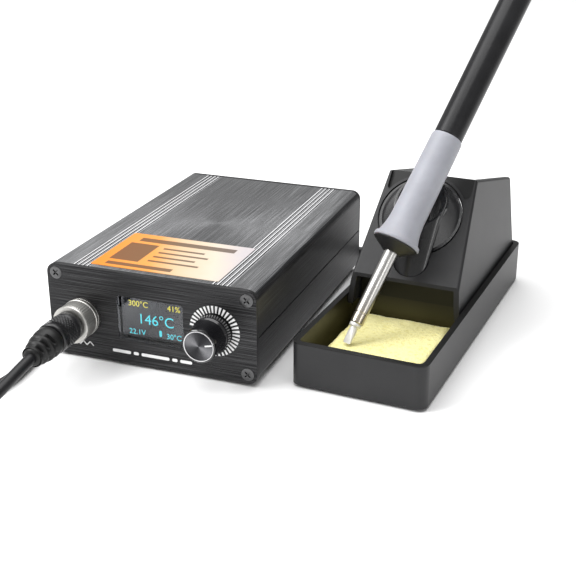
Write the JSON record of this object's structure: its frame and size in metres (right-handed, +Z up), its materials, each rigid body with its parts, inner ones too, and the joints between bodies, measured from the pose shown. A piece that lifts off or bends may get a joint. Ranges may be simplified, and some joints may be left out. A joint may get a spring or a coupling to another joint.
{
  "type": "soldering iron with station and stand",
  "caption": "Corded cartridge soldering iron leaning over its holder, with its digital station and a plastic stand with sponge.",
  "frame": {"origin": "on the bench, at the middle of the footprint of the station, stand and iron", "axes": "+X to the user's right, +Y from the station's front panel to its back, +Z up"},
  "size_m": [0.2059, 0.3028, 0.2031],
  "materials": {
    "case": "brushed, dark grey anodised",
    "black_panel": "brushed, black anodised",
    "steel": "satin",
    "nickel": "polished nickel plate",
    "black_plastic": "satin",
    "gloss_black": "gloss",
    "glass": "dark, clear",
    "circuit_board": "solder mask",
    "ceramic": "unglazed",
    "brass": "plain",
    "copper": "enamelled wire",
    "ferrite": "plain",
    "label": "printed film",
    "rubber": "matt",
    "silicone": "matt",
    "cord": "silicone, matt",
    "sponge": "open-cell cellulose",
    "tinned": "iron plate, tinned"
  },
  "bodies": {
    "set": {"top_shell": "case", "bottom_shell": "case", "front_panel": "black_panel", "rear_panel": "black_panel", "front_panel_screws": "steel", "rear_panel_screws": "steel", "case_feet": "rubber", "top_label": "label", "display_window": "glass", "display_module": "glass", "control_board": "circuit_board", "board_chips": "black_plastic", "encoder_body": "steel", "encoder_nut": "nickel", "socket_body": "nickel", "socket_nut": "nickel", "socket_insert": "black_plastic", "socket_pins": "brass", "plug_shell": "nickel", "plug_insert": "black_plastic", "plug_boot": "rubber", "power_board": "circuit_board", "transformer_core": "ferrite", "transformer_winding": "copper", "input_capacitor": "black_plastic", "output_capacitors": "black_plastic", "heat_sinks": "case", "line_fuse": "glass", "mains_inlet": "black_plastic", "inlet_pins": "nickel", "switch_housing": "black_plastic", "tray": "black_plastic", "holder_hood": "black_plastic", "iron_receptacle": "black_plastic", "sponge": "sponge", "stand_feet": "rubber", "cord_lead": "cord", "cord_coil": "cord", "cord_run": "cord"},
    "rotor": {"encoder_rotor": "black_plastic"},
    "dial": {"encoder_shaft": "nickel", "knob": "gloss_black", "knob_face": "steel", "knob_grub_screw": "steel"},
    "rocker": {"power_rocker": "gloss_black"},
    "ring": {"coupling_ring": "nickel"},
    "iron": {"tip": "tinned", "cartridge_sheath": "steel", "heater_core": "ceramic", "cartridge_contacts": "nickel", "front_cap": "black_plastic", "grip": "silicone", "handle_tube": "black_plastic", "cartridge_guide": "brass", "contact_block": "black_plastic", "contact_strips": "brass", "handle_board": "circuit_board", "end_cap": "black_plastic", "strain_relief": "rubber", "cord_rise": "cord"}
  },
  "joints": [
    {"name": "dial_turn", "type": "hinge", "parent": "set", "child": "rotor", "pos_m": [-0.013, -0.066, 0.0211], "axis": [0, 1, 0], "continuous": true},
    {"name": "dial_press", "type": "slide", "parent": "rotor", "child": "dial", "axis": [0, 1, 0], "range_m": [0, 0.0005], "stiffness_N_per_m": 600, "springref_m": -0.002},
    {"name": "power_rock", "type": "hinge", "parent": "set", "child": "rocker", "pos_m": [-0.0255, 0.0628, 0.0202], "axis": [1, 0, 0], "range_deg": [-16, 0]},
    {"name": "ring_turn", "type": "hinge", "parent": "set", "child": "ring", "pos_m": [-0.069, -0.066, 0.0188], "axis": [0, 1, 0], "range_deg": [0, 900]},
    {"name": "iron_lift", "type": "slide", "parent": "set", "child": "iron", "axis": [0, 0, 1], "range_m": [0, 0.06]}
  ]
}
